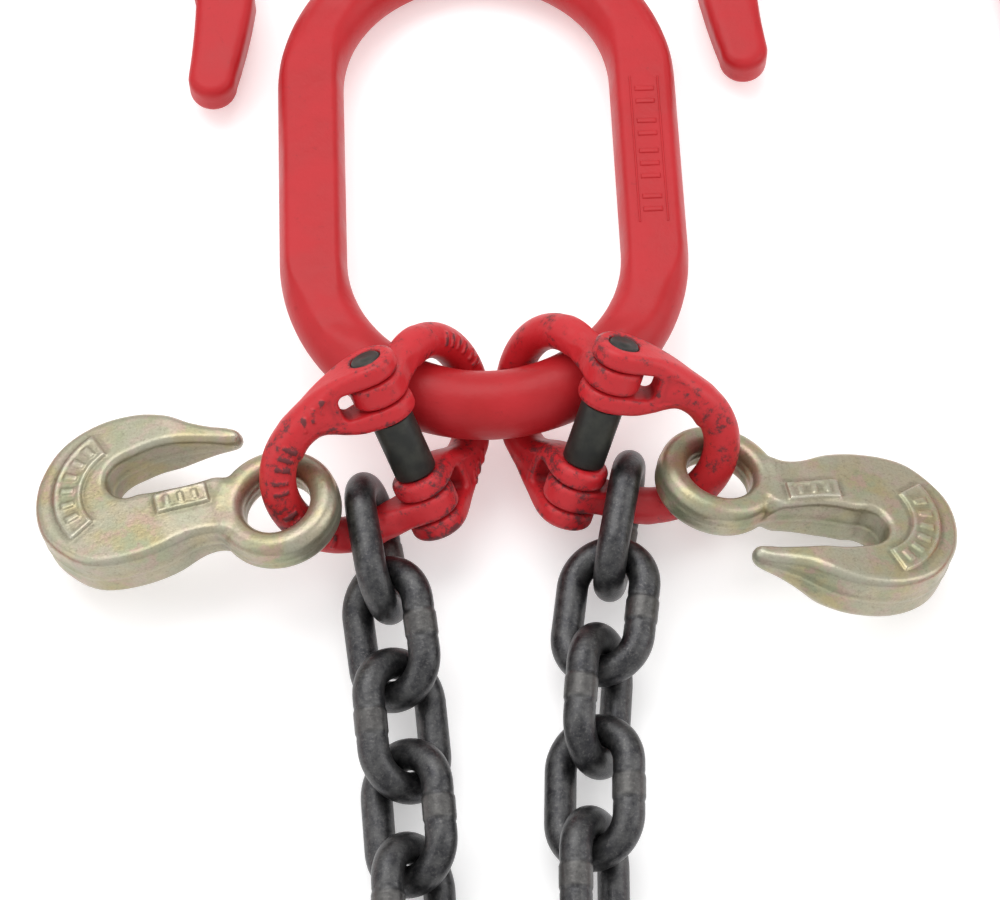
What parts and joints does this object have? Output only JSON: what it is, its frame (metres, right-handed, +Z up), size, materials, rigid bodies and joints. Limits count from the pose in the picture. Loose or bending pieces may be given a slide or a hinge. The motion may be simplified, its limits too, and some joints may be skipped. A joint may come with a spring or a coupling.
{
  "type": "v-bridle tow chain",
  "caption": "Towing bridle: an oblong master link, two pinned coupling links with eye grab hooks, and two chain legs that end in long J-hooks.",
  "frame": {"origin": "on the floor under the centre of the master link's eye", "axes": "+Z up from the floor the bridle lies on, +Y from the legs towards the far end of the master link, +X to the right leg"},
  "size_m": [0.4602, 0.5113, 0.0692],
  "materials": {
    "red_enamel": "satin red enamel over a forging",
    "chain_steel": "dark heat-treated steel, self-coloured",
    "zinc_yellow": "pale yellow chromate over zinc",
    "dark_steel": "blackened steel"
  },
  "bodies": {
    "master_link": {"master_link": "red_enamel"},
    "left_master_half": {"left_master_half": "red_enamel", "left_load_pin": "dark_steel"},
    "left_sleeve": {"left_sleeve": "dark_steel"},
    "left_chain_half": {"left_chain_half": "red_enamel"},
    "left_grab_hook": {"left_grab_hook": "zinc_yellow"},
    "left_j_hook": {"left_j_hook": "red_enamel"},
    "left_link_01": {"left_link_01": "chain_steel"},
    "left_link_02": {"left_link_02": "chain_steel"},
    "left_link_03": {"left_link_03": "chain_steel"},
    "left_link_04": {"left_link_04": "chain_steel"},
    "left_link_05": {"left_link_05": "chain_steel"},
    "left_link_06": {"left_link_06": "chain_steel"},
    "left_link_07": {"left_link_07": "chain_steel"},
    "left_link_08": {"left_link_08": "chain_steel"},
    "left_link_09": {"left_link_09": "chain_steel"},
    "left_link_10": {"left_link_10": "chain_steel"},
    "left_link_11": {"left_link_11": "chain_steel"},
    "left_link_12": {"left_link_12": "chain_steel"},
    "left_link_13": {"left_link_13": "chain_steel"},
    "left_link_14": {"left_link_14": "chain_steel"},
    "right_master_half": {"right_master_half": "red_enamel", "right_load_pin": "dark_steel"},
    "right_sleeve": {"right_sleeve": "dark_steel"},
    "right_chain_half": {"right_chain_half": "red_enamel"},
    "right_grab_hook": {"right_grab_hook": "zinc_yellow"},
    "right_j_hook": {"right_j_hook": "red_enamel"},
    "right_link_01": {"right_link_01": "chain_steel"},
    "right_link_02": {"right_link_02": "chain_steel"},
    "right_link_03": {"right_link_03": "chain_steel"},
    "right_link_04": {"right_link_04": "chain_steel"},
    "right_link_05": {"right_link_05": "chain_steel"},
    "right_link_06": {"right_link_06": "chain_steel"},
    "right_link_07": {"right_link_07": "chain_steel"},
    "right_link_08": {"right_link_08": "chain_steel"},
    "right_link_09": {"right_link_09": "chain_steel"},
    "right_link_10": {"right_link_10": "chain_steel"},
    "right_link_11": {"right_link_11": "chain_steel"},
    "right_link_12": {"right_link_12": "chain_steel"},
    "right_link_13": {"right_link_13": "chain_steel"},
    "right_link_14": {"right_link_14": "chain_steel"}
  },
  "joints": [
    {"name": "left_coupling_swing", "type": "hinge", "parent": "master_link", "child": "left_master_half", "pos_m": [-0.01374, -0.08532, 0.03118], "axis": [-0.9626, 0.2685, -0.036], "range_deg": [-9, 16]},
    {"name": "left_sleeve_turn", "type": "hinge", "parent": "left_master_half", "child": "left_sleeve", "pos_m": [-0.02372, -0.10403, 0.0394], "axis": [-0.3611, 0.5801, 0.7301], "continuous": true},
    {"name": "left_pin_hinge", "type": "hinge", "parent": "left_master_half", "child": "left_chain_half", "pos_m": [-0.02372, -0.10403, 0.0394], "axis": [0.3611, -0.5801, -0.7301], "range_deg": [-17, 2]},
    {"name": "left_grab_hook_swing", "type": "hinge", "parent": "left_chain_half", "child": "left_grab_hook", "pos_m": [-0.0626, -0.12399, 0.03424], "axis": [0.1851, -0.1847, -0.9652], "range_deg": [-35, 35]},
    {"name": "left_link_01_swing", "type": "hinge", "parent": "left_chain_half", "child": "left_link_01", "pos_m": [-0.03369, -0.12395, 0.02123], "axis": [0.9515, 0.1534, 0.2668], "range_deg": [-25, 9]},
    {"name": "left_link_02_swing", "type": "hinge", "parent": "left_link_01", "child": "left_link_02", "pos_m": [-0.03089, -0.13968, 0.02028], "axis": [-0.9515, -0.1534, -0.2668], "range_deg": [-25, 25]},
    {"name": "left_link_03_swing", "type": "hinge", "parent": "left_link_02", "child": "left_link_03", "pos_m": [-0.02647, -0.1678, 0.01815], "axis": [-0.6001, -0.1537, 0.785], "range_deg": [-4, 25]},
    {"name": "left_link_04_swing", "type": "hinge", "parent": "left_link_03", "child": "left_link_04", "pos_m": [-0.02303, -0.19695, 0.01579], "axis": [0.618, 0.0097, 0.7861], "range_deg": [-25, 25]},
    {"name": "left_link_05_swing", "type": "hinge", "parent": "left_link_04", "child": "left_link_05", "pos_m": [-0.02079, -0.2263, 0.01502], "axis": [0.6121, 0.0674, -0.7879], "range_deg": [-25, 2]},
    {"name": "left_link_06_swing", "type": "hinge", "parent": "left_link_05", "child": "left_link_06", "pos_m": [-0.01893, -0.25588, 0.01465], "axis": [0.765, 0.0401, 0.6428], "range_deg": [-25, 25]},
    {"name": "left_link_07_swing", "type": "hinge", "parent": "left_link_06", "child": "left_link_07", "pos_m": [-0.02551, -0.28437, 0.01726], "axis": [-0.6468, 0.2164, 0.7314], "range_deg": [-2, 15]},
    {"name": "left_link_08_swing", "type": "hinge", "parent": "left_link_07", "child": "left_link_08", "pos_m": [-0.04161, -0.30895, 0.01515], "axis": [0.5511, -0.4229, 0.7193], "range_deg": [-25, 25]},
    {"name": "left_link_09_swing", "type": "hinge", "parent": "left_link_08", "child": "left_link_09", "pos_m": [-0.06422, -0.32782, 0.01715], "axis": [-0.4567, 0.615, 0.6428], "range_deg": [-2, 25]},
    {"name": "left_link_10_swing", "type": "hinge", "parent": "left_link_09", "child": "left_link_10", "pos_m": [-0.09058, -0.34102, 0.01565], "axis": [-0.2259, 0.5426, -0.809], "range_deg": [-25, 1]},
    {"name": "left_link_11_swing", "type": "hinge", "parent": "left_link_10", "child": "left_link_11", "pos_m": [-0.11963, -0.34632, 0.01734], "axis": [-0.1224, 0.8392, 0.5299], "range_deg": [-2, 25]},
    {"name": "left_link_12_swing", "type": "hinge", "parent": "left_link_11", "child": "left_link_12", "pos_m": [-0.14897, -0.34493, 0.0158], "axis": [-0.0679, -0.4489, 0.891], "range_deg": [-1, 25]},
    {"name": "left_link_13_swing", "type": "hinge", "parent": "left_link_12", "child": "left_link_13", "pos_m": [-0.17496, -0.33102, 0.01788], "axis": [0.4608, 0.8046, 0.3746], "range_deg": [-25, 25]},
    {"name": "left_link_14_swing", "type": "hinge", "parent": "left_link_13", "child": "left_link_14", "pos_m": [-0.19536, -0.31049, 0.0165], "axis": [0.201, 0.1346, -0.9703], "range_deg": [-10, 1]},
    {"name": "left_j_hook_swing", "type": "hinge", "parent": "left_link_14", "child": "left_j_hook", "pos_m": [-0.19866, -0.26432, 0.01782], "axis": [-0.0006, -0.0183, -0.9998], "range_deg": [-45, 1]},
    {"name": "right_coupling_swing", "type": "hinge", "parent": "master_link", "child": "right_master_half", "pos_m": [0.02368, -0.08268, 0.03105], "axis": [0.9151, 0.4011, -0.0427], "range_deg": [-20, 4]},
    {"name": "right_sleeve_turn", "type": "hinge", "parent": "right_master_half", "child": "right_sleeve", "pos_m": [0.03576, -0.09946, 0.03836], "axis": [0.2894, 0.6059, 0.7411], "continuous": true},
    {"name": "right_pin_hinge", "type": "hinge", "parent": "right_master_half", "child": "right_chain_half", "pos_m": [0.03576, -0.09946, 0.03836], "axis": [0.2894, 0.6059, 0.7411], "range_deg": [-14, 6]},
    {"name": "right_grab_hook_swing", "type": "hinge", "parent": "right_chain_half", "child": "right_grab_hook", "pos_m": [0.07511, -0.11051, 0.02489], "axis": [0.2294, 0.3402, 0.9119], "range_deg": [-21, 35]},
    {"name": "right_link_01_swing", "type": "hinge", "parent": "right_chain_half", "child": "right_link_01", "pos_m": [0.04586, -0.1151, 0.01773], "axis": [0.9826, -0.1803, 0.0436], "range_deg": [-25, 25]},
    {"name": "right_link_02_swing", "type": "hinge", "parent": "right_link_01", "child": "right_link_02", "pos_m": [0.04297, -0.13084, 0.01773], "axis": [0.9826, -0.1803, 0.0436], "range_deg": [-25, 25]},
    {"name": "right_link_03_swing", "type": "hinge", "parent": "right_link_02", "child": "right_link_03", "pos_m": [0.03864, -0.15975, 0.01745], "axis": [0.3395, -0.0417, -0.9397], "range_deg": [-4, 17]},
    {"name": "right_link_04_swing", "type": "hinge", "parent": "right_link_03", "child": "right_link_04", "pos_m": [0.03645, -0.18932, 0.01767], "axis": [0.8808, -0.0616, 0.4695], "range_deg": [-25, 25]},
    {"name": "right_link_05_swing", "type": "hinge", "parent": "right_link_04", "child": "right_link_05", "pos_m": [0.03539, -0.21894, 0.01735], "axis": [-0.4999, 0.0087, 0.866], "range_deg": [-25, 25]},
    {"name": "right_link_06_swing", "type": "hinge", "parent": "right_link_05", "child": "right_link_06", "pos_m": [0.03533, -0.24859, 0.01745], "axis": [0.866, 0, 0.5], "range_deg": [-25, 25]},
    {"name": "right_link_07_swing", "type": "hinge", "parent": "right_link_06", "child": "right_link_07", "pos_m": [0.04287, -0.27672, 0.01546], "axis": [0.4939, 0.1926, -0.8479], "range_deg": [-25, 25]},
    {"name": "right_link_08_swing", "type": "hinge", "parent": "right_link_07", "child": "right_link_08", "pos_m": [0.0618, -0.29924, 0.018], "axis": [0.6027, 0.5694, 0.5591], "range_deg": [-25, 25]},
    {"name": "right_link_09_swing", "type": "hinge", "parent": "right_link_08", "child": "right_link_09", "pos_m": [0.08555, -0.31661, 0.01659], "axis": [0.3325, 0.5183, -0.7879], "range_deg": [-3, 25]},
    {"name": "right_link_10_swing", "type": "hinge", "parent": "right_link_09", "child": "right_link_10", "pos_m": [0.11318, -0.32696, 0.01856], "axis": [0.2185, 0.7104, 0.669], "range_deg": [-15, 2]},
    {"name": "right_link_11_swing", "type": "hinge", "parent": "right_link_10", "child": "right_link_11", "pos_m": [0.14242, -0.33098, 0.01734], "axis": [-0.0738, -0.7396, 0.669], "range_deg": [-25, 2]},
    {"name": "right_link_12_swing", "type": "hinge", "parent": "right_link_11", "child": "right_link_12", "pos_m": [0.17163, -0.32752, 0.01953], "axis": [0.1295, -0.5879, -0.7985], "range_deg": [-1, 25]},
    {"name": "right_link_13_swing", "type": "hinge", "parent": "right_link_12", "child": "right_link_13", "pos_m": [0.19739, -0.31333, 0.01752], "axis": [0.4476, -0.7414, 0.4999], "range_deg": [-25, 3]},
    {"name": "right_link_14_swing", "type": "hinge", "parent": "right_link_13", "child": "right_link_14", "pos_m": [0.21661, -0.29169, 0.02003], "axis": [0.3272, -0.1831, -0.927], "range_deg": [0, 25]},
    {"name": "right_j_hook_swing", "type": "hinge", "parent": "right_link_14", "child": "right_j_hook", "pos_m": [0.21809, -0.24553, 0.01764], "axis": [0.0018, -0.0174, -0.9998], "range_deg": [-1, 45]}
  ]
}
